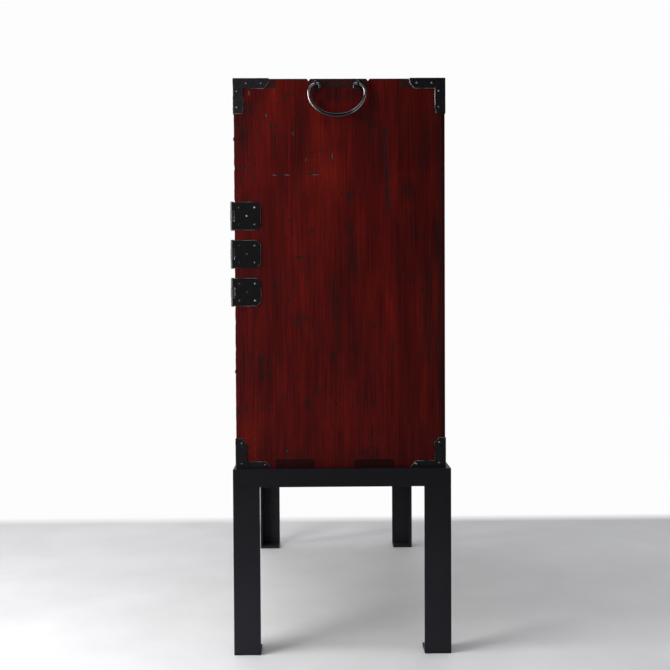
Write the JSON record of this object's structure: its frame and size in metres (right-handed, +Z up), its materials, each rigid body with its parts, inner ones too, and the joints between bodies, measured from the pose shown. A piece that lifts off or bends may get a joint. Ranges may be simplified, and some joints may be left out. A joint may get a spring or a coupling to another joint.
{
  "type": "clothing chest on stand",
  "caption": "Lacquered wooden clothing chest with iron mounts, sliding drawers, a small hinged door and carrying handles, set on a welded angle-iron stand.",
  "frame": {"origin": "bottom centre of the whole object, on the floor", "axes": "+Z up, +X to the right, the drawers face -Y"},
  "size_m": [0.944, 0.4523, 1.1625],
  "materials": {
    "red_lacquer": "worn dark red lacquer over straight grain",
    "plain_wood": "bare, darkened by age",
    "black_iron": "black, forged",
    "worn_iron": "forged, worn bright on the edges",
    "stand_steel": "satin black paint"
  },
  "bodies": {
    "chest": {"side_panel_left": "red_lacquer", "side_panel_right": "red_lacquer", "top_board": "red_lacquer", "bottom_board": "plain_wood", "back_panel": "plain_wood", "upper_shelf": "plain_wood", "lower_shelf": "plain_wood", "partition": "plain_wood", "middle_rail": "plain_wood", "cupboard_shelf": "plain_wood", "side_handle_posts": "black_iron", "hinge_side_leaves": "black_iron", "hinge_pins": "black_iron", "corner_irons_top_front": "black_iron", "corner_irons_top_back": "black_iron", "corner_irons_bottom_front": "black_iron", "corner_irons_bottom_back": "black_iron", "nails": "black_iron", "stand_leg_front_left": "stand_steel", "stand_leg_front_right": "stand_steel", "stand_leg_back_left": "stand_steel", "stand_leg_back_right": "stand_steel", "stand_side_rails": "stand_steel", "stand_long_rails": "stand_steel", "stand_feet": "stand_steel"},
    "top_drawer": {"top_drawer_front": "red_lacquer", "top_drawer_box": "plain_wood", "top_drawer_lock_plate": "black_iron", "top_drawer_bail_posts": "black_iron"},
    "top_drawer_bail_left": {"top_drawer_bail_left": "worn_iron"},
    "top_drawer_bail_right": {"top_drawer_bail_right": "worn_iron"},
    "upper_left_drawer": {"upper_left_drawer_front": "red_lacquer", "upper_left_drawer_box": "plain_wood", "upper_left_drawer_lock_plate": "black_iron", "upper_left_drawer_bail_posts": "black_iron"},
    "upper_left_drawer_bail_left": {"upper_left_drawer_bail_left": "worn_iron"},
    "upper_left_drawer_bail_right": {"upper_left_drawer_bail_right": "worn_iron"},
    "lower_left_drawer": {"lower_left_drawer_front": "red_lacquer", "lower_left_drawer_box": "plain_wood", "lower_left_drawer_lock_plate": "black_iron", "lower_left_drawer_bail_posts": "black_iron"},
    "lower_left_drawer_bail_left": {"lower_left_drawer_bail_left": "worn_iron"},
    "lower_left_drawer_bail_right": {"lower_left_drawer_bail_right": "worn_iron"},
    "bottom_drawer": {"bottom_drawer_front": "red_lacquer", "bottom_drawer_box": "plain_wood", "bottom_drawer_lock_plate": "black_iron", "bottom_drawer_bail_posts": "black_iron"},
    "bottom_drawer_bail_left": {"bottom_drawer_bail_left": "worn_iron"},
    "bottom_drawer_bail_right": {"bottom_drawer_bail_right": "worn_iron"},
    "side_handle_right": {"side_handle_right": "worn_iron"},
    "side_handle_left": {"side_handle_left": "worn_iron"},
    "door": {"door_panel": "red_lacquer", "door_lock_plate": "black_iron", "door_knob": "black_iron", "hinge_door_leaves": "black_iron", "door_nails": "black_iron"}
  },
  "joints": [
    {"name": "top_drawer_slide", "type": "slide", "parent": "chest", "child": "top_drawer", "axis": [0, -1, 0], "range_m": [0, 0.3]},
    {"name": "top_drawer_bail_left_hinge", "type": "hinge", "parent": "top_drawer", "child": "top_drawer_bail_left", "pos_m": [-0.235, -0.2185, 1.0704], "axis": [-1, 0, 0], "range_deg": [0, 150]},
    {"name": "top_drawer_bail_right_hinge", "type": "hinge", "parent": "top_drawer", "child": "top_drawer_bail_right", "pos_m": [0.235, -0.2185, 1.0704], "axis": [-1, 0, 0], "range_deg": [0, 150]},
    {"name": "upper_left_drawer_slide", "type": "slide", "parent": "chest", "child": "upper_left_drawer", "axis": [0, -1, 0], "range_m": [0, 0.3]},
    {"name": "upper_left_drawer_bail_left_hinge", "type": "hinge", "parent": "upper_left_drawer", "child": "upper_left_drawer_bail_left", "pos_m": [-0.319, -0.2185, 0.89915], "axis": [-1, 0, 0], "range_deg": [0, 150]},
    {"name": "upper_left_drawer_bail_right_hinge", "type": "hinge", "parent": "upper_left_drawer", "child": "upper_left_drawer_bail_right", "pos_m": [0.021, -0.2185, 0.89915], "axis": [-1, 0, 0], "range_deg": [0, 150]},
    {"name": "lower_left_drawer_slide", "type": "slide", "parent": "chest", "child": "lower_left_drawer", "axis": [0, -1, 0], "range_m": [0, 0.3]},
    {"name": "lower_left_drawer_bail_left_hinge", "type": "hinge", "parent": "lower_left_drawer", "child": "lower_left_drawer_bail_left", "pos_m": [-0.319, -0.2185, 0.77465], "axis": [-1, 0, 0], "range_deg": [0, 150]},
    {"name": "lower_left_drawer_bail_right_hinge", "type": "hinge", "parent": "lower_left_drawer", "child": "lower_left_drawer_bail_right", "pos_m": [0.021, -0.2185, 0.77465], "axis": [-1, 0, 0], "range_deg": [0, 150]},
    {"name": "bottom_drawer_slide", "type": "slide", "parent": "chest", "child": "bottom_drawer", "axis": [0, -1, 0], "range_m": [0, 0.3]},
    {"name": "bottom_drawer_bail_left_hinge", "type": "hinge", "parent": "bottom_drawer", "child": "bottom_drawer_bail_left", "pos_m": [-0.235, -0.2185, 0.5614], "axis": [-1, 0, 0], "range_deg": [0, 150]},
    {"name": "bottom_drawer_bail_right_hinge", "type": "hinge", "parent": "bottom_drawer", "child": "bottom_drawer_bail_right", "pos_m": [0.235, -0.2185, 0.5614], "axis": [-1, 0, 0], "range_deg": [0, 150]},
    {"name": "side_handle_right_hinge", "type": "hinge", "parent": "chest", "child": "side_handle_right", "pos_m": [0.465, -0.001, 1.1485], "axis": [0, -1, 0], "range_deg": [0, 150]},
    {"name": "side_handle_left_hinge", "type": "hinge", "parent": "chest", "child": "side_handle_left", "pos_m": [-0.465, -0.001, 1.1485], "axis": [0, 1, 0], "range_deg": [0, 150]},
    {"name": "door_hinge", "type": "hinge", "parent": "chest", "child": "door", "pos_m": [0.4526, -0.2124, 0.8105], "axis": [0, 0, 1], "range_deg": [0, 170]}
  ]
}
